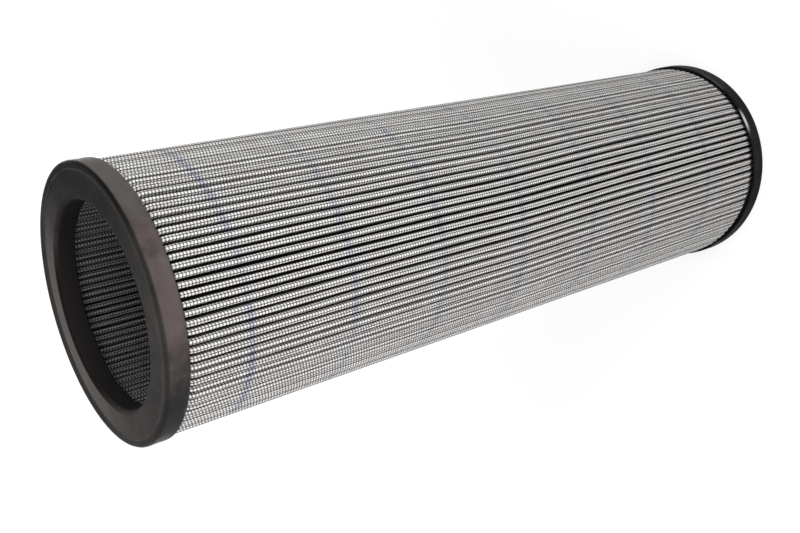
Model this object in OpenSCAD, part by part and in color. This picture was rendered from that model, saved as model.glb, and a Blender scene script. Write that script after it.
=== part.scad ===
// Pleated hydraulic filter element, standing on one end cap.
// A folded pack of two wire meshes with glass fibre between them is bonded between two open pressed caps.
// The origin is the centre of the lower cap's face, and +Z runs along the element.

/* [Element] */
// Length over both end caps
element_l = 392; // [250:1:800]
// Diameter of the bore through each end cap
bore_d = 88; // [79:0.5:140]

/* [End caps] */
// Width of the cap's channel, from the bore to the outside of the skirt
channel_w = 16; // [13.5:0.1:22]
// Height of the skirt and of the inner collar
cap_h = 9.5; // [8:0.1:14]
// Thickness of the pressed sheet
sheet_t = 1; // [0.8:0.05:1.4]
// Radius of the rounded lip round the bore
lip_r = 2; // [1.5:0.1:2.6]
// Radius of the shoulder between the face and the skirt
shoulder_r = 1.5; // [1.3:0.1:2.2]
// Width of the raised rim round the face, up to the skirt
rim_w = 3.4; // [2.8:0.1:5]
// Depth of the flat face below the raised rim
rim_rise = 0.5; // [0.1:0.05:0.7]
// Width of the slope between the flat face and the raised rim
rim_slope_w = 0.75; // [0.4:0.05:1]

/* [Pleated pack] */
// Number of pleats
pleat_count = 104; // [84:1:110]
// Depth of a pleat from outer to inner tip
pleat_depth = 8.6; // [7:0.1:9.4]
// Thickness of each wire mesh
mesh_t = 0.4; // [0.3:0.01:0.44]
// Thickness of the glass fibre between the meshes
media_t = 0.4; // [0.3:0.01:0.48]
// Radius left open inside the tightest fold
crease_r = 0.05; // [0.03:0.01:0.1]
// Clearance between the outer pleat tips and the skirt
pack_clearance = 0.2; // [0.05:0.05:0.5]

/* [Bonding] */
// Depth of the adhesive bed in each cap
potting_t = 3; // [2:0.1:4]
// Angle of the side seam round the element from +X
seam_angle = 137; // [0:1:359]
// Share of a valley's depth that the side seam fills
seam_fill_ratio = 0.72; // [0.3:0.01:0.9]

/* [Hidden] */

bore_r = bore_d / 2;
cap_r = bore_r + channel_w;
skirt_inner_r = cap_r - sheet_t;
collar_outer_r = bore_r + sheet_t;
rim_inner_r = cap_r - rim_w;
rim_crest_r = rim_inner_r + rim_slope_w;
edge_r = sheet_t / 2;
edge_z = cap_h - edge_r;

// The bed lies on the inside of the flat face, and the pack stands on the bed
bed_z = rim_rise + sheet_t;
pack_z = bed_z + potting_t;
pack_l = element_l - 2 * pack_z;

// Folds: every layer is an offset of one middle line that turns round the outer and inner tips
pack_t = 2 * mesh_t + media_t;
fold_r = pack_t / 2 + crease_r;
outer_tip_r = skirt_inner_r - pack_clearance;

// A fold is outlined by up to three corners, which stand this far from its centre
tip_corners = 3;
tip_reach = (fold_r + pack_t / 2) / cos(90 / tip_corners);
outer_centre_r = outer_tip_r - tip_reach;
inner_centre_r = outer_tip_r - pleat_depth + tip_reach;
half_pitch = 180 / pleat_count;
tip_dx = outer_centre_r - inner_centre_r * cos(half_pitch);
tip_dy = inner_centre_r * sin(half_pitch);
leg_tilt = atan2(tip_dy, tip_dx) - asin(2 * fold_r / norm([tip_dx, tip_dy]));

// The seam lies in the valley nearest to its angle
seam_pleat = round((seam_angle - half_pitch) / (2 * half_pitch));

// Offsets of the four faces of the layers from the middle line, outermost first
face_offset = [pack_t / 2, media_t / 2, -media_t / 2, -pack_t / 2];
// Points round an outer tip and an inner tip on each of those faces
outer_points = [tip_corners, tip_corners, 2, 1];
inner_points = [1, 2, tip_corners, tip_corners];

// Facets round a full circle
round_fn = 96;

// Points of a fold of radius r that outline it from outside, from one leg to the other
function fold(r, tilt, count) = let (span = 180 - 2 * tilt, step = span / count) count == 1
    ? [[r, 0]]
    : [for (k = [0:count - 1]) let (a = -span / 2 + (k + 0.5) * step) r / cos(step / 2) * [cos(a), sin(a)]];

function turn(p, a) = [p[0] * cos(a) - p[1] * sin(a), p[0] * sin(a) + p[1] * cos(a)];

// Outer tip number i and the inner tip that follows it, on one face of the layers
function outer_tip(i, face) = [
    for (p = fold(fold_r + face_offset[face], leg_tilt, outer_points[face]))
        turn([outer_centre_r + p[0], p[1]], 2 * half_pitch * i)
];
function inner_tip(i, face) = [
    for (p = fold(fold_r - face_offset[face], leg_tilt + half_pitch, inner_points[face]))
        turn([inner_centre_r - p[0], p[1]], 2 * half_pitch * (i + 0.5))
];
function pleated_outline(face) = [for (i = [0:pleat_count - 1]) each concat(outer_tip(i, face), inner_tip(i, face))];

// One quarter of a bend in the sheet, starting at the angle from
module bend(r, from) {
    intersection() {
        difference() {
            circle(r, $fn = round_fn);
            circle(r - sheet_t, $fn = round_fn);
        }
        rotate(from) square(r);
    }
}

// Places a bend or a filled corner at the lip of the bore and at the shoulder of the skirt
module at_lip() {
    translate([bore_r + lip_r, rim_rise + lip_r]) children();
}
module at_shoulder() {
    translate([cap_r - shoulder_r, shoulder_r]) children();
}

// Section of the pressed channel: collar, lip, flat face, raised rim, shoulder and skirt
module cap_section() {
    translate([bore_r, rim_rise + lip_r]) square([sheet_t, edge_z - rim_rise - lip_r]);
    at_lip() bend(lip_r, 180);
    translate([bore_r + lip_r, rim_rise]) square([rim_inner_r - bore_r - lip_r, sheet_t]);
    polygon([
        [rim_inner_r, rim_rise], [rim_crest_r, 0], [cap_r - shoulder_r, 0],
        [cap_r - shoulder_r, sheet_t], [rim_crest_r, sheet_t], [rim_inner_r, bed_z]
    ]);
    at_shoulder() bend(shoulder_r, 270);
    translate([skirt_inner_r, shoulder_r]) square([sheet_t, edge_z - shoulder_r]);
    for (x = [bore_r + edge_r, cap_r - edge_r]) translate([x, edge_z]) circle(edge_r, $fn = round_fn);
}

// Section of the adhesive that lies in the channel up to the end of the pack
module potting_section() {
    translate([collar_outer_r, rim_rise + lip_r]) square([lip_r - sheet_t, pack_z - rim_rise - lip_r]);
    intersection() {
        at_lip() circle(lip_r - sheet_t, $fn = round_fn);
        at_lip() rotate(180) square(lip_r);
    }
    polygon([
        [bore_r + lip_r, bed_z], [rim_inner_r, bed_z], [rim_crest_r, sheet_t], [cap_r - shoulder_r, sheet_t],
        [cap_r - shoulder_r, pack_z], [bore_r + lip_r, pack_z]
    ]);
    intersection() {
        at_shoulder() circle(shoulder_r - sheet_t, $fn = round_fn);
        at_shoulder() rotate(270) square(shoulder_r);
    }
    translate([cap_r - shoulder_r, shoulder_r]) square([shoulder_r - sheet_t, pack_z - shoulder_r]);
}

module cap() {
    rotate_extrude($fn = round_fn) cap_section();
}

module potting() {
    rotate_extrude($fn = round_fn) potting_section();
}

module at_top() {
    translate([0, 0, element_l]) mirror([0, 0, 1]) children();
}

module pleated_layer(outside, inside) {
    translate([0, 0, pack_z]) linear_extrude(pack_l) difference() {
        polygon(pleated_outline(outside));
        polygon(pleated_outline(inside));
    }
}

module top_end_cap() {
    color("#3b3836") at_top() cap();
}

module bottom_end_cap() {
    color("#3b3836") cap();
}

module outer_support_mesh() {
    color("#8d8a86") pleated_layer(0, 1);
}

module filter_media() {
    color("#f1efe9") pleated_layer(1, 2);
}

module inner_support_mesh() {
    color("#4a4846") pleated_layer(2, 3);
}

module top_potting() {
    color("#1d1c1c") at_top() potting();
}

module bottom_potting() {
    color("#1d1c1c") potting();
}

// A bead of adhesive along one valley joins the two ends of the folded pack
module side_seam() {
    valley = inner_tip(seam_pleat, 0)[0];
    legs = [outer_tip(seam_pleat, 0)[tip_corners - 1], outer_tip(seam_pleat + 1, 0)[0]];
    color("#2a2827") translate([0, 0, pack_z]) linear_extrude(pack_l)
        polygon(concat([valley], [for (p = legs) valley + seam_fill_ratio * (p - valley)]));
}

top_end_cap();
bottom_end_cap();
outer_support_mesh();
filter_media();
inner_support_mesh();
top_potting();
bottom_potting();
side_seam();
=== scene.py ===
"""Looks of a pleated hydraulic filter element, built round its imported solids."""

import math

import bpy
import numpy as np
from mathutils import Matrix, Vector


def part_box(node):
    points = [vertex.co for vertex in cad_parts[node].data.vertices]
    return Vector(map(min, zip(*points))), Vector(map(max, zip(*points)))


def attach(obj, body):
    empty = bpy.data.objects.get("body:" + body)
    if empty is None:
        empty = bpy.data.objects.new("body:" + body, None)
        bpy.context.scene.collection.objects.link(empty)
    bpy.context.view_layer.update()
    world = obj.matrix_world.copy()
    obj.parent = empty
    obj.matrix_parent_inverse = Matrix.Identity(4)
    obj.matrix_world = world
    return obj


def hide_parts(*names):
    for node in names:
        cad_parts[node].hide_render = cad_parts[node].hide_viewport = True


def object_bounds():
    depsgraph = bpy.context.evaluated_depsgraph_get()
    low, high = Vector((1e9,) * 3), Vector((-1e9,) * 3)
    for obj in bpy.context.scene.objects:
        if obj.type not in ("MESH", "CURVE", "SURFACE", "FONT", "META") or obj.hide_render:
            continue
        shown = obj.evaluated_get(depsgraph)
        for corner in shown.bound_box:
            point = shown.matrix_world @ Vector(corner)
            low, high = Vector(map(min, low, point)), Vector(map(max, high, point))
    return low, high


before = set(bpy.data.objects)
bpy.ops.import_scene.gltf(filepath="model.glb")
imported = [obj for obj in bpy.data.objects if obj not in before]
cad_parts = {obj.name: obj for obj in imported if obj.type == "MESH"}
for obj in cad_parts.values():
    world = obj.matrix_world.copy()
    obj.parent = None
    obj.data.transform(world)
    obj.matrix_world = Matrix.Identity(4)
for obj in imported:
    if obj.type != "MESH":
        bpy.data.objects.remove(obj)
cad_low, cad_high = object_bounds()

MM = 0.001
SEED = 7
rng = np.random.default_rng(SEED)

# Sizes in millimetres, the same as the solids have
ELEMENT_L = (cad_high.z - cad_low.z) / MM
CAP_R = (cad_high.x - cad_low.x) / 2 / MM
BORE_R = 44.0
CAP_H = 9.5
SHEET_T = 1.0
LIP_R = 2.0
SHOULDER_R = 1.5
RIM_W = 3.4
RIM_RISE = 0.5
RIM_SLOPE_W = 0.75
# Radius at which the raised rim of a cap's face starts
RIM_R = CAP_R - RIM_W
PACK_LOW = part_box("filter_media")[0].z / MM
PACK_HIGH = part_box("filter_media")[1].z / MM
OUTER_TIP_R = 58.8
INNER_TIP_R = 50.2
PLEATS = 104
PACK_T = 1.2
FOLD_R = 0.65

# The fold's shape, with true arcs at the tips
HALF_PITCH = math.pi / PLEATS
TIP_R = FOLD_R + PACK_T / 2
OUTER_C = OUTER_TIP_R - TIP_R
INNER_C = INNER_TIP_R + TIP_R
TIP_DX = OUTER_C - INNER_C * math.cos(HALF_PITCH)
TIP_DY = INNER_C * math.sin(HALF_PITCH)
TIP_DIST = math.hypot(TIP_DX, TIP_DY)
TILT = math.atan2(TIP_DY, TIP_DX) - math.asin(2 * FOLD_R / TIP_DIST)
OUTER_SPAN = math.pi / 2 - TILT
INNER_SPAN = math.pi / 2 - TILT - HALF_PITCH
LEG = math.sqrt(TIP_DIST**2 - (2 * FOLD_R) ** 2)

# The weave, on the middle of each mesh
WIRE_PITCH = 1.44
WIRE_W = 0.42
MESH_OFFSET = 0.4
# The fibre swells out between the wires, up to this far from the middle of the fold
PUFF = 0.47
WIRE_FOOT = PUFF - 0.05
HOOP_CREST = PACK_T / 2
# Lengthwise wires lie a little lower than the hoops that cross them
LENGTHWISE_CREST = PACK_T / 2 - 0.04
# Wires are real round the tips only: this far past the round of an outer tip and from the middle of an
# inner one. On the legs between them they are painted
OUTER_WIRE_REACH = 0.5
INNER_HOOP_REACH = 1.15
INNER_LENGTHWISE_REACH = 1.25
OUTER_ARC = (FOLD_R + MESH_OFFSET) * OUTER_SPAN
INNER_ARC = (FOLD_R + MESH_OFFSET) * INNER_SPAN
SMALL_INNER_ARC = (FOLD_R - MESH_OFFSET) * INNER_SPAN
PLEAT_CLOTH = 2 * (OUTER_ARC + LEG + SMALL_INNER_ARC)
SEAM_PLEAT = 39
# The "cloth" attribute's depth starts from here on the side that faces the bore
INNER_SIDE = 2.0

# Blue rings at nearly even heights, and half their width without and with its soft edge
RING_HEIGHTS = [354.9, 304.6, 254.9, 204.0, 153.9, 104.6, 54.3]
RING_CORE = 0.9
RING_EDGE = 2.2

# How the pleats wander: slow waves along the length, with these spreads in pleat pitches
TIP_WAVES = 5
OUTER_WANDER = 0.020
INNER_WANDER = 0.012
WAVE_COUNTS = np.array([0.0, 1.0, 2.3, 3.9, 6.1])
outer_amp = rng.normal(0, OUTER_WANDER, (PLEATS, TIP_WAVES))
outer_phase = rng.uniform(0, 2 * math.pi, (PLEATS, TIP_WAVES))
inner_amp = rng.normal(0, INNER_WANDER, (PLEATS, TIP_WAVES))
inner_phase = rng.uniform(0, 2 * math.pi, (PLEATS, TIP_WAVES))

# How the whole pack leans: the way down from its upper end is counted in steps of this length
LEAN_TOP = 391.7
LEAN_STEP = 58.9
# The upper part leans over this many steps, by the sum of both leans on the +X side and by their
# difference on the -X side
UPPER_STEPS = 3.1
UPPER_SPAN = 2.55
UPPER_LEAN = 0.12
UPPER_LEAN_SIDE = 0.28
# The lower part leans the other way from here, by this much a step, and bends there softly
LOWER_FROM = 3.15
LOWER_LEAN = 0.28
BEND_SOFTNESS = 0.03
# The bend dips a little before the pack leans back
DIP = 0.10
DIP_FROM = 3.25
DIP_STEPS = 0.5
# The pleats stand a little wider apart on the -Y side than on the +Y side
BASE_SHIFT = 0.01
SPREAD = 0.41

# The outer tips are pressed in by this much where they enter a cap, over this length
PINCH_DEPTH = 1.3
PINCH_LENGTH = 3.6


def tip_wander(amp, phase, index, z):
    """Sideways shift of one tip, in pleat pitches, as a few slow waves along the length."""
    t = (z - PACK_LOW) / (PACK_HIGH - PACK_LOW) * 2 * math.pi
    index = np.asarray(index) % PLEATS
    out = 0
    for k in range(TIP_WAVES):
        out = out + amp[index, k] * np.cos(WAVE_COUNTS[k] * t + phase[index, k])
    return out


def pack_twist(theta, z):
    """Sideways shift of the whole pack, in pitches: it leans one way, then the other past its middle."""
    step = (LEAN_TOP - z) / LEAN_STEP
    upper = np.clip(UPPER_STEPS - step, 0, None) / UPPER_SPAN
    past = step - LOWER_FROM
    lower = 0.5 * (past + np.sqrt(past**2 + BEND_SOFTNESS))
    dip = DIP * np.exp(-(((step - DIP_FROM) / DIP_STEPS) ** 2))
    spread = BASE_SHIFT + SPREAD * np.cos(theta)
    upper_lean = upper * (UPPER_LEAN + UPPER_LEAN_SIDE * np.cos(theta))
    return spread + upper_lean + LOWER_LEAN * lower - dip


def pinch(z):
    """How far the outer tips are pressed in at a height."""
    end = np.minimum(z, ELEMENT_L - z) - CAP_H
    t = np.clip(1 - end / PINCH_LENGTH, 0, 1)
    return PINCH_DEPTH * t * t


def to_world(x, y, index, z, towards_inner):
    """Places a point of a pleat's own section. towards_inner is 0 at the outer tip and 1 at the inner."""
    theta = np.arctan2(y, x) + 2 * HALF_PITCH * index
    q = np.clip(towards_inner, 0, 1)
    r = np.hypot(x, y) - pinch(z) * (1 - q)
    side = np.where(y >= 0, 0, -1)
    shift = pack_twist(2 * HALF_PITCH * index, z)
    shift = shift + (1 - q) * tip_wander(outer_amp, outer_phase, index, z)
    shift = shift + q * tip_wander(inner_amp, inner_phase, index + side, z)
    theta = theta + shift * 2 * HALF_PITCH
    return np.stack([r * np.cos(theta), r * np.sin(theta), z + 0 * r], -1) * MM


def fold_point(offset, u):
    """Point of a pleat's section at distance u from its outer tip along the outer mesh, offset outwards."""
    side = np.where(u >= 0, 1.0, -1.0)
    u = np.abs(u)
    phi = np.minimum(u, OUTER_ARC) / (FOLD_R + MESH_OFFSET)
    x = OUTER_C + (FOLD_R + offset) * np.cos(phi)
    y = (FOLD_R + offset) * np.sin(phi)
    leg = np.clip(u - OUTER_ARC, 0, LEG)
    x = x - leg * math.cos(TILT)
    y = y + leg * math.sin(TILT)
    past = np.clip(u - OUTER_ARC - LEG, 0, SMALL_INNER_ARC) / (FOLD_R - MESH_OFFSET)
    # Round the inner tip, whose centre lies half a pitch further on
    psi = INNER_SPAN - past
    centre_x = INNER_C * math.cos(HALF_PITCH)
    centre_y = INNER_C * math.sin(HALF_PITCH)
    local_x = -(FOLD_R - offset) * np.cos(psi)
    local_y = -(FOLD_R - offset) * np.sin(psi)
    round_x = centre_x + local_x * math.cos(HALF_PITCH) - local_y * math.sin(HALF_PITCH)
    round_y = centre_y + local_x * math.sin(HALF_PITCH) + local_y * math.cos(HALF_PITCH)
    on_inner_tip = u > OUTER_ARC + LEG
    return np.where(on_inner_tip, round_x, x), np.where(on_inner_tip, round_y, y) * side


def depth_share(u):
    """How far down a leg a place lies, from 0 at its outer end to 1 at its inner end."""
    return (np.abs(u) - OUTER_ARC) / LEG


def inner_cloth(u):
    """The same place on the inner mesh, as the distance that its own longer way round gives."""
    rest = PLEAT_CLOTH / 2 - np.abs(u)
    stretch = (FOLD_R + MESH_OFFSET) / (FOLD_R - MESH_OFFSET)
    way = np.where(rest < SMALL_INNER_ARC, rest * stretch, INNER_ARC + rest - SMALL_INNER_ARC)
    return np.where(u >= 0, 1.0, -1.0) * (PLEAT_CLOTH / 2 - way)


def inner_point(offset, u):
    """Point of the section at distance u from the inner tip along the inner mesh, as that tip sees it."""
    side = np.where(u >= 0, 1.0, -1.0)
    u = np.abs(u)
    phi = np.minimum(u, INNER_ARC) / (FOLD_R + MESH_OFFSET)
    x = INNER_C - (FOLD_R + offset) * np.cos(phi)
    y = (FOLD_R + offset) * np.sin(phi)
    leg = np.clip(u - INNER_ARC, 0, LEG)
    tilt = TILT + HALF_PITCH
    return x + leg * math.cos(tilt), (y + leg * math.sin(tilt)) * side


def inner_to_world(x, y, index, z):
    """Places a point near the inner tip that follows pleat number index."""
    theta = np.arctan2(y, x) + 2 * HALF_PITCH * (index + 0.5)
    shift = pack_twist(2 * HALF_PITCH * (index + 0.5), z) + tip_wander(inner_amp, inner_phase, index, z)
    theta = theta + shift * 2 * HALF_PITCH
    r = np.hypot(x, y)
    return np.stack([r * np.cos(theta), r * np.sin(theta), z + 0 * r], -1) * MM


# Meshes


def make_mesh(name, points, quads, material, attributes=(), smooth=True):
    """Object made of four-sided faces, with vectors kept at its points where attributes are given."""
    mesh = bpy.data.meshes.new(name)
    points = np.asarray(points, np.float32).reshape(-1, 3)
    quads = np.asarray(quads, np.int32).reshape(-1, 4)
    mesh.vertices.add(len(points))
    mesh.vertices.foreach_set("co", points.ravel())
    mesh.loops.add(quads.size)
    mesh.loops.foreach_set("vertex_index", quads.ravel())
    mesh.polygons.add(len(quads))
    mesh.polygons.foreach_set("loop_start", np.arange(0, quads.size, 4, dtype=np.int32))
    mesh.polygons.foreach_set("use_smooth", np.full(len(quads), smooth))
    for label, values in attributes:
        attribute = mesh.attributes.new(label, "FLOAT_VECTOR", "POINT")
        attribute.data.foreach_set("vector", np.asarray(values, np.float32).ravel())
    mesh.update(calc_edges=True)
    mesh.validate()
    mesh.materials.append(material)
    piece = bpy.data.objects.new(name, mesh)
    bpy.context.scene.collection.objects.link(piece)
    return piece


def grid_quads(rows, columns, close_rows=False, close_columns=False, flip=False):
    """Quads over a grid of points numbered row by row."""
    i = np.arange(rows if close_rows else rows - 1)
    j = np.arange(columns if close_columns else columns - 1)
    i, j = np.meshgrid(i, j, indexing="ij")
    next_i = (i + 1) % rows
    next_j = (j + 1) % columns
    corners = [i * columns + j, i * columns + next_j, next_i * columns + next_j, next_i * columns + j]
    quads = np.stack(corners, -1).reshape(-1, 4)
    return quads[:, ::-1] if flip else quads


def many(quads, copies, stride):
    """The same quads for many copies of one strip."""
    return (quads[None] + (np.arange(copies) * stride)[:, None, None]).reshape(-1, 4)


# Materials


class Nodes:
    """Short calls for a material's node tree."""

    def __init__(self, name):
        self.material = bpy.data.materials.new(name)
        self.material.use_nodes = True
        self.tree = self.material.node_tree
        self.tree.nodes.clear()
        self.out = self.tree.nodes.new("ShaderNodeOutputMaterial")

    def add(self, kind, inputs=None, **values):
        node = self.tree.nodes.new(kind)
        for key, value in values.items():
            setattr(node, key, value)
        for key, value in (inputs or {}).items():
            self.set(node.inputs[key], value)
        return node

    def set(self, socket, value):
        if isinstance(value, bpy.types.NodeSocket):
            self.tree.links.new(value, socket)
        else:
            socket.default_value = value

    def math(self, operation, a, b=0.0, c=0.0):
        node = self.add("ShaderNodeMath", operation=operation)
        for socket, value in zip(node.inputs, (a, b, c)):
            self.set(socket, value)
        return node.outputs[0]

    def times(self, a, b):
        return self.math("MULTIPLY", a, b)

    def line(self, value, slope, start):
        """The value times a slope, plus a start."""
        return self.math("MULTIPLY_ADD", value, slope, start)

    def apart(self, a, b):
        """Distance between two values."""
        return self.math("ABSOLUTE", self.math("SUBTRACT", a, b))

    def ramp(self, value, low, high, to_low=0.0, to_high=1.0):
        node = self.add("ShaderNodeMapRange", interpolation_type="SMOOTHSTEP")
        keys = ("Value", "From Min", "From Max", "To Min", "To Max")
        for key, number in zip(keys, (value, low, high, to_low, to_high)):
            self.set(node.inputs[key], number)
        return node.outputs[0]

    def mix(self, factor, a, b, blend="MIX"):
        # The node's colour sockets are numbers 6 and 7, and the mixed colour is output 2
        node = self.add("ShaderNodeMix", data_type="RGBA", blend_type=blend)
        self.set(node.inputs[0], factor)
        self.set(node.inputs[6], a)
        self.set(node.inputs[7], b)
        return node.outputs[2]

    def noise(self, vector, scale, detail=3.0, roughness=0.55):
        node = self.add("ShaderNodeTexNoise", {"Scale": scale, "Detail": detail, "Roughness": roughness})
        self.set(node.inputs["Vector"], vector)
        return node.outputs["Fac"]

    def bump(self, height, strength, distance, normal=None):
        node = self.add("ShaderNodeBump", {"Strength": strength, "Distance": distance, "Height": height})
        if normal is not None:
            self.set(node.inputs["Normal"], normal)
        return node.outputs[0]

    def place(self):
        return self.add("ShaderNodeTexCoord").outputs["Object"]

    def parts(self, vector):
        return self.add("ShaderNodeSeparateXYZ", {"Vector": vector}).outputs

    def shine(self, **inputs):
        """Ends the tree with a Principled shader. Spaces in a socket's name are written as underscores."""
        sockets = {key.replace("_", " "): value for key, value in inputs.items()}
        return self.finish(self.add("ShaderNodeBsdfPrincipled", sockets))

    def finish(self, shader):
        self.tree.links.new(shader.outputs[0], self.out.inputs[0])
        return self.material


def rings(n, place, height):
    """How much of the faint blue rings a place at a height in millimetres shows."""
    ring = None
    for z in RING_HEIGHTS:
        band = n.ramp(n.apart(height, z), RING_CORE, RING_EDGE, 1.0, 0.0)
        ring = band if ring is None else n.math("MAXIMUM", ring, band)
    patchy = n.ramp(n.noise(place, 130.0, 3.0), 0.35, 0.65, 0.25, 0.72)
    # The ring nearest to the upper cap is the strongest
    fade = n.ramp(height, 310.0, 350.0, 0.66, 1.0)
    return n.times(ring, n.times(patchy, fade))


def off_wire(n, value):
    """How far a place lies from the nearest wire, from 0 on it to 0.5 midway between two."""
    cell = n.math("FRACT", n.math("DIVIDE", value, WIRE_PITCH))
    return n.math("SUBTRACT", 0.5, n.apart(cell, 0.5))


def media_material():
    pale = (0.87, 0.85, 0.835, 1)
    bright = (0.95, 0.935, 0.92, 1)
    ring_blue = (0.44, 0.47, 0.62, 1)
    painted_shade_dark = (0.03, 0.028, 0.027, 1)
    painted_wire = (0.018, 0.017, 0.016, 1)
    leg_shade = 0.90
    inner_shade = 0.77
    end_dim = 0.9

    n = Nodes("glass_fibre")
    # The way along the folded sheet and the height, in millimetres, and the depth down a leg
    cloth = n.add("ShaderNodeAttribute", attribute_name="cloth").outputs["Vector"]
    place = n.place()
    along_fold, height, depth = n.parts(cloth)
    across = off_wire(n, along_fold)
    along = off_wire(n, height)
    nearest = n.math("MINIMUM", across, along)
    outward = n.math("LESS_THAN", depth, INNER_SIDE - 0.5)
    inward = n.math("SUBTRACT", 1.0, outward)
    # At the tips the wires are real, so only the legs are painted
    wire = n.times(n.ramp(nearest, 0.12, 0.20, 1.0, 0.0), n.ramp(depth, 0.02, 0.12))
    # The fibre stands up between the wires and sinks, in their shade, towards each of them
    shade = n.times(n.ramp(across, 0.05, 0.25, 0.55, 1.0), n.ramp(along, 0.09, 0.32, 0.32, 1.0))
    shade = n.add("ShaderNodeCombineColor", {"Red": shade, "Green": shade, "Blue": shade}).outputs[0]
    white = n.mix(n.ramp(n.noise(place, 90.0, 4.0), 0.35, 0.7), pale, bright)
    white = n.mix(n.times(rings(n, place, height), outward), white, ring_blue)
    colour = n.mix(1.0, white, shade, "MULTIPLY")
    # Painted shade: the fibre darkens down the legs into the valleys, and all over the face that looks into
    # the bore
    dim = n.times(outward, n.ramp(depth, -0.05, 0.25, 0.0, leg_shade))
    dim = n.math("MAXIMUM", dim, n.times(inward, inner_shade))
    # The ends of the folds beside the caps are darker, further on the side of the bore
    end = n.math("MINIMUM", height, n.math("SUBTRACT", ELEMENT_L, height))
    dim = n.math("MAXIMUM", dim, n.ramp(end, CAP_H + 0.7, CAP_H + 1.7, end_dim, 0.0))
    bore_end_dark = n.times(inward, n.ramp(end, CAP_H + 0.5, CAP_H + 7.5, 1.0, 0.0))
    dim = n.math("MAXIMUM", dim, bore_end_dark)
    colour = n.mix(dim, colour, painted_shade_dark)
    colour = n.mix(wire, colour, painted_wire)
    normal = n.bump(n.noise(place, 2500.0, 4.0), 0.25, 0.0001)
    normal = n.bump(n.ramp(nearest, 0.0, 0.42), 0.55, 0.00025, normal)
    return n.shine(Base_Color=colour, Normal=normal, Roughness=0.88, Specular_IOR_Level=0.25)


def wire_material(name, dark, light, roughness, ringed=False):
    ring_blue = (0.032, 0.038, 0.085, 1)

    n = Nodes(name)
    place = n.place()
    colour = n.mix(n.ramp(n.noise(place, 350.0, 3.0), 0.35, 0.7), dark, light)
    if ringed:
        height = n.times(n.parts(place)[2], 1 / MM)
        colour = n.mix(rings(n, place, height), colour, ring_blue)
    rough = n.ramp(n.noise(place, 900.0, 2.0), 0.3, 0.7, roughness - 0.08, roughness + 0.1)
    normal = n.bump(n.noise(place, 4000.0, 2.0), 0.2, 0.00003)
    return n.shine(Base_Color=colour, Normal=normal, Roughness=rough, Specular_IOR_Level=0.45)


def face_paint(n, radius, across, up, mottle, smudge):
    """Colour of a cap's face: a painted sheen that is strongest on the +Y side, painted shade on the rim and
    on the lip, and a painted highlight line where the rim starts.
    """
    face_black = (0.0038, 0.0034, 0.0032, 1)
    painted_sheen = (0.116, 0.105, 0.099, 1)
    shade_black = (0.0035, 0.0032, 0.003, 1)
    highlight_grey = (0.085, 0.08, 0.075, 1)

    across_part = n.line(across, 0.50, 0.45)
    up_part = n.line(up, n.line(up, -0.185, -0.27), 0.225)
    face_side = n.line(across, across_part, up_part)
    face_sheen = n.line(mottle, 0.4, face_side)
    face = n.mix(n.ramp(face_sheen, -0.2, 1.05), face_black, painted_sheen)
    # The painted shade of the raised rim reaches further in on the +Y side
    reach = n.line(n.math("MAXIMUM", across, 0.0), RIM_W * MM, radius)
    rim = n.ramp(reach, (RIM_R - 0.4) * MM, (RIM_R + 0.7) * MM)
    rim = n.times(rim, n.ramp(face_side, 0.2, 0.8, 0.35, 0.78))
    # Painted shade darkens the lip where the face rounds into the bore
    lip = n.ramp(radius, (BORE_R + 2.4) * MM, (BORE_R + 1.3) * MM)
    lip = n.times(lip, n.ramp(face_side, 0.2, 0.7, 0.35, 0.97))
    face = n.mix(n.math("MAXIMUM", rim, lip), face, shade_black)
    # A painted highlight line runs round where the rim starts, fainter on the +Y side
    rim_highlight = n.ramp(n.apart(radius, RIM_R * MM), 0.1 * MM, 0.5 * MM, 1.0, 0.0)
    rim_highlight = n.times(rim_highlight, n.ramp(across, 0.2, 0.7, 1.0, 0.15))
    return n.mix(n.times(rim_highlight, n.ramp(smudge, 0.3, 0.6, 0.15, 0.5)), face, highlight_grey)


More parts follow.
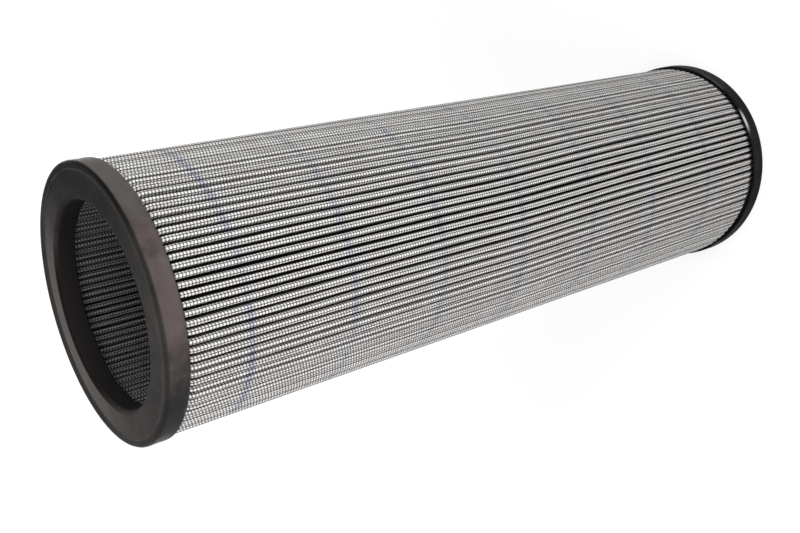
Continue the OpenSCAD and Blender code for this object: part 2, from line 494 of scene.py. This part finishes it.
def skirt_paint(n, place, z, inward, across, up, mottle):
    """Colour of a cap's skirt: a painted sheen in patches on the upper cap, and painted shade that makes the
    lower one darker.
    """
    grey_low = (0.021, 0.0205, 0.0205, 1)
    grey_high = (0.106, 0.096, 0.088, 1)
    brown_low = (0.021, 0.019, 0.019, 1)
    brown_high = (0.100, 0.079, 0.076, 1)
    shaded_lower_dark = (0.004, 0.004, 0.004, 1)
    shaded_lower_light = (0.014, 0.013, 0.013, 1)
    wear_and_glint_grey = (0.13, 0.125, 0.12, 1)
    painted_glint = (0.50, 0.50, 0.49, 1)
    # Heights in metres between which the lower cap's paint, darkened as painted shade, gives way to the
    # upper one's
    lower_below = 0.15
    upper_above = 0.3

    # Most of the painted sheen lies towards -Y and +X, less round one place on the +X side, and less again
    # towards -X
    skirt_side = n.line(across, -0.70, n.times(up, 0.55))
    skirt_side = n.math("SUBTRACT", skirt_side, n.ramp(n.apart(up, 0.38), 0.30, 0.05, 0.0, 0.8))
    skirt_side = n.math("ADD", skirt_side, n.ramp(up, -0.2, -0.55, 0.0, -0.35))
    patches = n.line(n.noise(place, 150.0, 3.0, 0.5), 0.9, -0.45)
    mottled_sheen = n.line(mottle, 1.7, n.math("ADD", patches, skirt_side))
    upper_sheen = n.ramp(mottled_sheen, -0.8, 1.0)
    grey = n.mix(upper_sheen, grey_low, grey_high)
    brown = n.mix(upper_sheen, brown_low, brown_high)
    tone = n.line(n.math("ABSOLUTE", n.math("ADD", up, 0.08)), -0.5, n.noise(place, 60.0, 3.0))
    upper = n.mix(n.ramp(tone, 0.22, 0.40), grey, brown)
    # The lower cap gets a darker copy of the same paint, as painted shade
    lower = n.mix(n.ramp(mottled_sheen, -0.5, 0.9), shaded_lower_dark, shaded_lower_light)
    side = n.mix(n.ramp(z, lower_below, upper_above), lower, upper)
    # Lighter patches along the skirt's open edge, partly thinned paint and partly a painted highlight
    wear_and_glint = n.ramp(inward, CAP_H - 1.1, CAP_H - 0.4)
    wear_and_glint = n.times(wear_and_glint, n.ramp(n.noise(place, 34.0, 3.0), 0.54, 0.68, 0.0, 0.6))
    side = n.mix(wear_and_glint, side, wear_and_glint_grey)
    # A painted glint in one place on the lower skirt's edge
    glint = n.ramp(n.apart(up, 0.225), 0.02, 0.14, 1.0, 0.0)
    glint = n.times(glint, n.ramp(across, -0.5, -0.8))
    glint = n.times(glint, n.ramp(z, (CAP_H + 0.3) * MM, (CAP_H + 0.7) * MM, 1.0, 0.0))
    glint = n.times(glint, n.ramp(inward, CAP_H - 1.7, CAP_H - 0.7))
    return n.mix(glint, side, painted_glint)


def cap_material():
    collar_black = (0.012, 0.0105, 0.0108, 1)

    n = Nodes("cap_paint")
    place = n.place()
    x, y, z = n.parts(place)
    radius = n.math("SQRT", n.math("ADD", n.times(x, x), n.times(y, y)))
    # Distance in from the nearer cap's face, in millimetres
    inward = n.times(n.math("MINIMUM", z, n.math("SUBTRACT", ELEMENT_L * MM, z)), 1 / MM)
    on_skirt = n.times(n.ramp(inward, 0.6, 1.6), n.ramp(radius, (CAP_R - 1.6) * MM, (CAP_R - 0.8) * MM))
    on_collar = n.times(n.ramp(inward, 0.9, 2.6), n.ramp(radius, (BORE_R + 2.5) * MM, (BORE_R + 0.6) * MM))
    cloud = n.noise(place, 38.0, 5.0, 0.6)
    fine = n.noise(place, 420.0, 4.0, 0.6)
    smudge = n.noise(place, 95.0, 4.0, 0.6)
    # A painted sheen lies more on some sides of the paint than on others, broken up by a random mottle
    across = n.times(y, 1 / (CAP_R * MM))
    up = n.times(x, 1 / (CAP_R * MM))
    mottle = n.line(cloud, 1.2, n.line(smudge, 1.0, -1.1))
    face = face_paint(n, radius, across, up, mottle, smudge)
    side = skirt_paint(n, place, z, inward, across, up, mottle)
    colour = n.mix(on_skirt, face, side)
    colour = n.mix(on_collar, colour, collar_black)
    rough = n.ramp(n.line(fine, 0.4, n.times(cloud, 0.6)), 0.3, 0.7, 0.46, 0.62)
    normal = n.bump(fine, 0.12, 0.00015)
    normal = n.bump(n.noise(place, 2200.0, 3.0), 0.10, 0.00004, normal)
    return n.shine(Base_Color=colour, Normal=normal, Roughness=rough, Specular_IOR_Level=0.035)


def adhesive_material(name, dark, light):
    n = Nodes(name)
    place = n.place()
    colour = n.mix(n.ramp(n.noise(place, 120.0, 4.0), 0.3, 0.7), dark, light)
    rough = n.ramp(n.noise(place, 260.0, 3.0), 0.3, 0.7, 0.45, 0.7)
    normal = n.bump(n.noise(place, 300.0, 3.0), 0.35, 0.0003)
    return n.shine(Base_Color=colour, Normal=normal, Roughness=rough)


WIRE_ROUGHNESS = 0.5
OUTER_WIRE_DARK = (0.030, 0.026, 0.025, 1)
OUTER_WIRE_LIGHT = (0.078, 0.069, 0.065, 1)
INNER_WIRE_DARK = (0.010, 0.010, 0.010, 1)
INNER_WIRE_LIGHT = (0.028, 0.027, 0.026, 1)
POTTING_DARK = (0.008, 0.008, 0.008, 1)
POTTING_LIGHT = (0.022, 0.021, 0.021, 1)
SEAM_DARK = (0.012, 0.011, 0.011, 1)
SEAM_LIGHT = (0.035, 0.032, 0.031, 1)

media_look = media_material()
outer_wire_look = wire_material("outer_wire", OUTER_WIRE_DARK, OUTER_WIRE_LIGHT, WIRE_ROUGHNESS, ringed=True)
inner_wire_look = wire_material("inner_wire", INNER_WIRE_DARK, INNER_WIRE_LIGHT, WIRE_ROUGHNESS)
cap_look = cap_material()
potting_look = adhesive_material("potting", POTTING_DARK, POTTING_LIGHT)
seam_look = adhesive_material("seam_adhesive", SEAM_DARK, SEAM_LIGHT)


# The folded media

# Heights of the rows of points, closer together where the tips are pressed in beside the caps
END_ROWS = np.array([0.0, 1.0, 2.0, 3.5, 8.0])
MIDDLE_FROM = CAP_H + 22
MIDDLE_ROWS = 22
ROW_Z = np.concatenate([
    [PACK_LOW], CAP_H + END_ROWS, np.linspace(MIDDLE_FROM, ELEMENT_L - MIDDLE_FROM, MIDDLE_ROWS),
    ELEMENT_L - CAP_H - END_ROWS[::-1], [PACK_HIGH],
])


def media_stations():
    """Distances along the outer mesh from valley to valley, for one pleat."""
    tip = np.array([0.34, 0.67, 1.0]) * OUTER_ARC
    leg = OUTER_ARC + LEG * np.array([0.45])
    root = OUTER_ARC + LEG + SMALL_INNER_ARC * np.array([0.0, 0.5])
    half = np.concatenate([tip, leg, root])
    return np.concatenate([-half[::-1], [0.0], half, [PLEAT_CLOTH / 2]])


def build_media():
    """The folded fibre: an outer and an inner face, joined at the pack's two ends."""
    u = media_stations()
    q = depth_share(u)
    pleat = (np.arange(PLEATS) + SEAM_PLEAT + 1)[:, None]
    columns = PLEATS * len(u)
    points = []
    cloth = []
    for offset, way, side in ((PUFF, u, 0), (-PUFF, inner_cloth(u), INNER_SIDE)):
        x, y = fold_point(offset, u)
        for z in ROW_Z:
            row = to_world(x[None] + 0 * pleat, y[None] + 0 * pleat, pleat, z, q[None])
            points.append(row.reshape(-1, 3))
            along_fold = pleat * PLEAT_CLOTH + way[None]
            height = np.full((PLEATS, len(u)), z)
            depth = side + np.minimum(q, 1)[None] + 0 * pleat
            cloth.append(np.stack([along_fold, height, depth], -1).reshape(-1, 3))
    outer = grid_quads(len(ROW_Z), columns, close_columns=True)
    base = len(ROW_Z) * columns
    inner = grid_quads(len(ROW_Z), columns, close_columns=True, flip=True) + base
    j = np.arange(columns)
    next_j = (j + 1) % columns
    top = base - columns
    low_end = np.stack([j, base + j, base + next_j, next_j], -1)
    high_end = np.stack([top + j, top + next_j, top + base + next_j, top + base + j], -1)
    quads = np.concatenate([outer, inner, low_end, high_end])
    return make_mesh("filter_media_pleats", np.concatenate(points), quads, media_look,
                     [("cloth", np.concatenate(cloth))])


# Wires

# Hoops start just inside the caps, which hide the rest
FIRST_HOOP = math.ceil((CAP_H - 1) / WIRE_PITCH)
LAST_HOOP = math.floor((ELEMENT_L - CAP_H + 1) / WIRE_PITCH)
HOOP_Z = np.arange(FIRST_HOOP, LAST_HOOP + 1) * WIRE_PITCH


def ridge(crest):
    """Offset and sideways step of the three lines of points that make one wire."""
    return ((WIRE_FOOT, -WIRE_W / 2), (crest, 0.0), (WIRE_FOOT, WIRE_W / 2))


def build_outer_hoops(part, parts):
    """Wires that run round each outer tip, one for every weave pitch along the length."""
    zs = np.array_split(HOOP_Z, parts)[part]
    u = np.array([-1.0, -0.5, 0.0, 0.5, 1.0]) * (OUTER_ARC + OUTER_WIRE_REACH)
    pleat, z, station = np.meshgrid(np.arange(PLEATS), zs, np.arange(len(u)), indexing="ij")
    lines = []
    for offset, dz in ridge(HOOP_CREST):
        x, y = fold_point(np.full(len(u), offset), u)
        lines.append(to_world(x[station], y[station], pleat, z + dz, depth_share(u)[station]))
    points = np.stack(lines, -2).reshape(-1, 3)
    quads = many(grid_quads(len(u), 3, flip=True), PLEATS * len(zs), len(u) * 3)
    return make_mesh(f"outer_mesh_hoops_{part + 1}", points, quads, outer_wire_look)


def build_inner_hoops(part, parts):
    """Wires that run round each inner tip, in line with the outer ones."""
    zs = np.array_split(HOOP_Z, parts)[part]
    u = np.array([-1.0, 0.0, 1.0]) * INNER_HOOP_REACH
    pleat, z, station = np.meshgrid(np.arange(PLEATS), zs, np.arange(len(u)), indexing="ij")
    lines = []
    for offset, dz in ridge(HOOP_CREST):
        x, y = inner_point(np.full(len(u), offset), u)
        lines.append(inner_to_world(x[station], y[station], pleat, z + dz))
    points = np.stack(lines, -2).reshape(-1, 3)
    quads = many(grid_quads(len(u), 3), PLEATS * len(zs), len(u) * 3)
    return make_mesh(f"inner_mesh_hoops_{part + 1}", points, quads, inner_wire_look)


def wires_along(reach, shift):
    """Pleat number and distance from its tip of each lengthwise wire that shows on a tip."""
    found = []
    for i in range(PLEATS):
        # The sheet starts at the seam, so the pleats before it are counted on after the last one
        centre = (i + (PLEATS if i <= SEAM_PLEAT else 0)) * PLEAT_CLOTH + shift
        first = math.ceil((centre - reach) / WIRE_PITCH)
        last = math.floor((centre + reach) / WIRE_PITCH)
        found += [(i, k * WIRE_PITCH - centre) for k in range(first, last + 1)]
    return np.array(found)


def build_outer_lengthwise():
    """Wires that run along the element on the outer tips."""
    found = wires_along(OUTER_ARC + OUTER_WIRE_REACH, 0.0)
    pleat = found[:, 0].astype(int)[:, None] + 0 * ROW_Z.astype(int)
    u = found[:, 1][:, None]
    z = ROW_Z[None] + 0 * u
    lines = []
    for offset, du in ridge(LENGTHWISE_CREST):
        x, y = fold_point(np.full(u.shape, offset), u + du)
        lines.append(to_world(x + 0 * z, y + 0 * z, pleat, z, depth_share(u + du)))
    points = np.stack(lines, -2).reshape(-1, 3)
    quads = many(grid_quads(len(ROW_Z), 3), len(found), len(ROW_Z) * 3)
    return make_mesh("outer_mesh_lengthwise", points, quads, outer_wire_look)


def build_inner_lengthwise():
    """Wires that run along the element on the inner tips."""
    found = wires_along(INNER_LENGTHWISE_REACH, PLEAT_CLOTH / 2)
    pleat = found[:, 0].astype(int)[:, None] + 0 * ROW_Z.astype(int)
    u = found[:, 1][:, None]
    z = ROW_Z[None] + 0 * u
    lines = []
    for offset, du in ridge(LENGTHWISE_CREST):
        x, y = inner_point(np.full(u.shape, offset), u + du)
        lines.append(inner_to_world(x + 0 * z, y + 0 * z, pleat, z))
    points = np.stack(lines, -2).reshape(-1, 3)
    quads = many(grid_quads(len(ROW_Z), 3, flip=True), len(found), len(ROW_Z) * 3)
    return make_mesh("inner_mesh_lengthwise", points, quads, inner_wire_look)


# Caps and seam

CAP_SIDES = 220
SEAM_ROWS = 97
# Shares of a leg's length at which the seam's bead touches both sides of its valley
SEAM_STEPS = np.array([0.70, 0.45, 0.2, 0.0])


def arc(cx, cz, r, start, end, count):
    """Points of an arc round a centre, between two angles in degrees."""
    a = np.radians(np.linspace(start, end, count))
    return np.stack([cx + r * np.cos(a), cz + r * np.sin(a)], -1)


def cap_profile():
    """Closed section of a cap as radius and height above its face, once round."""
    edge = SHEET_T / 2
    edge_z = CAP_H - edge
    crest = RIM_R + RIM_SLOPE_W
    lip_c = BORE_R + LIP_R
    # The skirt's wall is drawn in a hair between its two ends
    slight = CAP_R - 0.03
    drawn_in = CAP_R - 0.13
    skirt = [[slight, 3.0], [drawn_in, 5.0], [drawn_in, 6.4], [slight, 7.7], [CAP_R - 0.05, 8.3]]
    # The flat face turns up into the rim's slope, and the slope into the rim, with small roundings
    slope = [
        [BORE_R + 4, RIM_RISE], [RIM_R - 2.5, RIM_RISE], [RIM_R - 0.25, RIM_RISE],
        [RIM_R + 0.05, RIM_RISE - 0.12], [RIM_R + RIM_SLOPE_W * 0.55, RIM_RISE * 0.4],
        [crest, 0.03], [crest + 0.25, 0.0],
    ]
    return np.concatenate([
        arc(CAP_R - SHOULDER_R, SHOULDER_R, SHOULDER_R, -90, 0, 10),
        skirt,
        arc(CAP_R - edge - 0.1, edge_z, edge, 20, 180, 9),
        [[CAP_R - SHEET_T, 8.0], [CAP_R - SHEET_T, SHOULDER_R]],
        arc(CAP_R - SHOULDER_R, SHOULDER_R, SHOULDER_R - SHEET_T, 0, -90, 5),
        [[crest, SHEET_T], [RIM_R, RIM_RISE + SHEET_T], [lip_c, RIM_RISE + SHEET_T]],
        arc(lip_c, RIM_RISE + LIP_R, LIP_R - SHEET_T, 270, 180, 5),
        [[BORE_R + SHEET_T, 5.0], [BORE_R + SHEET_T, edge_z - 0.2]],
        arc(BORE_R + edge, edge_z, edge, 0, 180, 8),
        [[BORE_R, 6.0], [BORE_R, RIM_RISE + LIP_R]],
        arc(lip_c, RIM_RISE + LIP_R, LIP_R, 180, 270, 10)[1:],
        slope,
    ])


def build_cap(name, top):
    """A cap turned from its section, the upper one if top is true."""
    profile = cap_profile()
    angle = (np.arange(CAP_SIDES) * 2 * math.pi / CAP_SIDES)[:, None]
    r = profile[None, :, 0]
    h = profile[None, :, 1]
    z = ELEMENT_L - h if top else h
    points = np.stack([r * np.cos(angle), r * np.sin(angle), z + 0 * angle], -1) * MM
    quads = grid_quads(CAP_SIDES, len(profile), close_rows=True, close_columns=True, flip=not top)
    return make_mesh(name, points, quads, cap_look)


def seam_point(pleat, u, z):
    """Point on the outer face of the pack at distance u from a pleat's outer tip."""
    x, y = fold_point(np.array([HOOP_CREST]), np.array([u]))
    return to_world(x, y, np.array([pleat]), z, depth_share(np.array([u])))[0]


def build_seam():
    """Bead of adhesive in the valley where the two ends of the folded sheet meet."""
    heights = np.linspace(PACK_LOW, PACK_HIGH, SEAM_ROWS)
    way = PLEAT_CLOTH / 2 - SMALL_INNER_ARC - LEG * SEAM_STEPS
    ring = []
    for z in heights:
        down = [seam_point(SEAM_PLEAT, u, z) for u in way]
        back_up = [seam_point(SEAM_PLEAT + 1, -u, z) for u in way[::-1]]
        ring.append(down + back_up)
    points = np.array(ring)
    quads = grid_quads(SEAM_ROWS, points.shape[1], close_columns=True)
    return make_mesh("side_seam_bead", points, quads, seam_look)


def place(piece, slot, *nodes):
    """Rides a piece on the root and hides the solids that it replaces; its slot is not used."""
    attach(piece, "root")
    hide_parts(*nodes)


OUTER_HOOP_PIECES = 3
INNER_HOOP_PIECES = 2

place(build_media(), "glass_fibre", "filter_media")
for part in range(OUTER_HOOP_PIECES):
    place(build_outer_hoops(part, OUTER_HOOP_PIECES), "outer_wire", "outer_support_mesh")
place(build_outer_lengthwise(), "outer_wire", "outer_support_mesh")
for part in range(INNER_HOOP_PIECES):
    place(build_inner_hoops(part, INNER_HOOP_PIECES), "inner_wire", "inner_support_mesh")
place(build_inner_lengthwise(), "inner_wire", "inner_support_mesh")
place(build_cap("top_cap_shell", True), "cap_paint", "top_end_cap")
place(build_cap("bottom_cap_shell", False), "cap_paint", "bottom_end_cap")
place(build_seam(), "seam_adhesive", "side_seam")
for node in ("top_potting", "bottom_potting"):
    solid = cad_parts[node]
    solid.data.materials.clear()
    solid.data.materials.append(potting_look)


# Stage, light and camera, in metres

FLOOR_HALF = 8.0
FLOOR_PALE = (0.92, 0.92, 0.92, 1)
# The floor throws less light back up at the object's lower end than its looks suggest
FLOOR_BOUNCE = (0.50, 0.50, 0.50, 1)
FLOOR_GLOW = 1.1
# The glow's share of the floor's looks rises between these distances, so the floor keeps the shadow
GLOW_FROM = 0.15
GLOW_TO = 0.8
GLOW_NEAR = 0.70
GLOW_FAR = 0.97
WHITE = (1, 1, 1, 1)
WORLD_LIGHT = 0.36
WORLD_SEEN = 1.0

FRONT_LAMP = {"target": (0, 0, 0.35), "size": 0.7, "watts": 5.4}
BACK_LAMP = {"target": (0, 0, 0.18), "size": 0.36, "watts": 4.3}
KEY_AT = (0.45, -0.62, 0.72)
SIDE_AT = (-0.51, -0.62, 0.65)
BACK_LEFT_AT = (-0.42, 1.00, 0.18)
BACK_RIGHT_AT = (0.42, 1.00, 0.18)

# The picture's size, and the camera's focal length and optical centre in it, in pixels
PICTURE_W = 800
PICTURE_H = 533
FOCAL_PX = 964.45
CENTRE_X = 415.04
CENTRE_Y = 314.28
SENSOR_W = 36.0
# The camera's own directions and its place, rolled so that the standing element lies in the picture
CAMERA_RIGHT = (-0.2449, -0.5949, -0.7656)
CAMERA_UP = (0.9657, -0.0788, -0.2476)
CAMERA_BACK = (0.0870, -0.7999, 0.5938)
CAMERA_AT = (0.0, -0.3899, 0.5266)


def build_floor():
    n = Nodes("floor")
    rays = n.add("ShaderNodeLightPath").outputs
    reflected = n.math("MAXIMUM", rays["Is Glossy Ray"], rays["Is Transmission Ray"])
    seen = n.math("MAXIMUM", rays["Is Camera Ray"], reflected)
    diffuse = n.add("ShaderNodeBsdfDiffuse", {"Color": n.mix(seen, FLOOR_BOUNCE, FLOOR_PALE)})
    glow = n.add("ShaderNodeEmission", {"Color": WHITE, "Strength": FLOOR_GLOW})
    away = n.add("ShaderNodeVectorMath", {0: n.place()}, operation="LENGTH").outputs["Value"]
    share = n.ramp(away, GLOW_FROM, GLOW_TO, GLOW_NEAR, GLOW_FAR)
    mixed = n.add("ShaderNodeMixShader", {"Fac": n.times(seen, share)})
    n.tree.links.new(diffuse.outputs[0], mixed.inputs[1])
    n.tree.links.new(glow.outputs[0], mixed.inputs[2])
    n.finish(mixed)
    half = FLOOR_HALF
    points = [[-half, -half, 0], [half, -half, 0], [half, half, 0], [-half, half, 0]]
    floor = make_mesh("floor", points, [[0, 1, 2, 3]], n.material, smooth=False)


def build_world():
    world = bpy.data.worlds.new("studio")
    bpy.context.scene.world = world
    world.use_nodes = True
    tree = world.node_tree
    tree.nodes.clear()
    out = tree.nodes.new("ShaderNodeOutputWorld")
    back = tree.nodes.new("ShaderNodeBackground")
    path = tree.nodes.new("ShaderNodeLightPath")
    seen = tree.nodes.new("ShaderNodeMath")
    seen.operation = "MAXIMUM"
    tree.links.new(path.outputs["Is Camera Ray"], seen.inputs[0])
    tree.links.new(path.outputs["Is Glossy Ray"], seen.inputs[1])
    strength = tree.nodes.new("ShaderNodeMapRange")
    strength.inputs["To Min"].default_value = WORLD_LIGHT
    strength.inputs["To Max"].default_value = WORLD_SEEN
    tree.links.new(seen.outputs[0], strength.inputs["Value"])
    tree.links.new(strength.outputs[0], back.inputs["Strength"])
    back.inputs["Color"].default_value = WHITE
    tree.links.new(back.outputs[0], out.inputs[0])


def axes_matrix(right, up, back, position):
    """Matrix that stands something at a position with these directions as its own."""
    rows = [[right[k], up[k], back[k], position[k]] for k in range(3)]
    return Matrix(rows + [[0, 0, 0, 1]])


def area_light(name, position, target, size, watts):
    data = bpy.data.lights.new(name, "AREA")
    data.shape = "SQUARE"
    data.size = size
    data.energy = watts
    lamp = bpy.data.objects.new(name, data)
    bpy.context.scene.collection.objects.link(lamp)
    back = np.array(position, float) - np.array(target, float)
    back = back / np.linalg.norm(back)
    side = np.cross((0, 0, 1), back)
    side = side / np.linalg.norm(side)
    lamp.matrix_world = axes_matrix(side, np.cross(back, side), back, position)


def build_camera():
    data = bpy.data.cameras.new("camera")
    data.sensor_fit = "HORIZONTAL"
    data.sensor_width = SENSOR_W
    data.lens = FOCAL_PX / PICTURE_W * SENSOR_W
    data.shift_x = (PICTURE_W / 2 - CENTRE_X) / PICTURE_W
    data.shift_y = (CENTRE_Y - PICTURE_H / 2) / PICTURE_W
    data.clip_start = 0.01
    data.clip_end = 50
    camera = bpy.data.objects.new("camera", data)
    bpy.context.scene.collection.objects.link(camera)
    camera.matrix_world = axes_matrix(CAMERA_RIGHT, CAMERA_UP, CAMERA_BACK, CAMERA_AT)
    bpy.context.scene.camera = camera


build_floor()
build_world()
area_light("key", KEY_AT, **FRONT_LAMP)
area_light("side", SIDE_AT, **FRONT_LAMP)
area_light("back_left", BACK_LEFT_AT, **BACK_LAMP)
area_light("back_right", BACK_RIGHT_AT, **BACK_LAMP)
build_camera()
bpy.context.scene.view_settings.view_transform = "Standard"
# The denoiser keeps the weave, which its own smoothing of its guides would wipe away
bpy.context.scene.cycles.denoising_prefilter = "NONE"
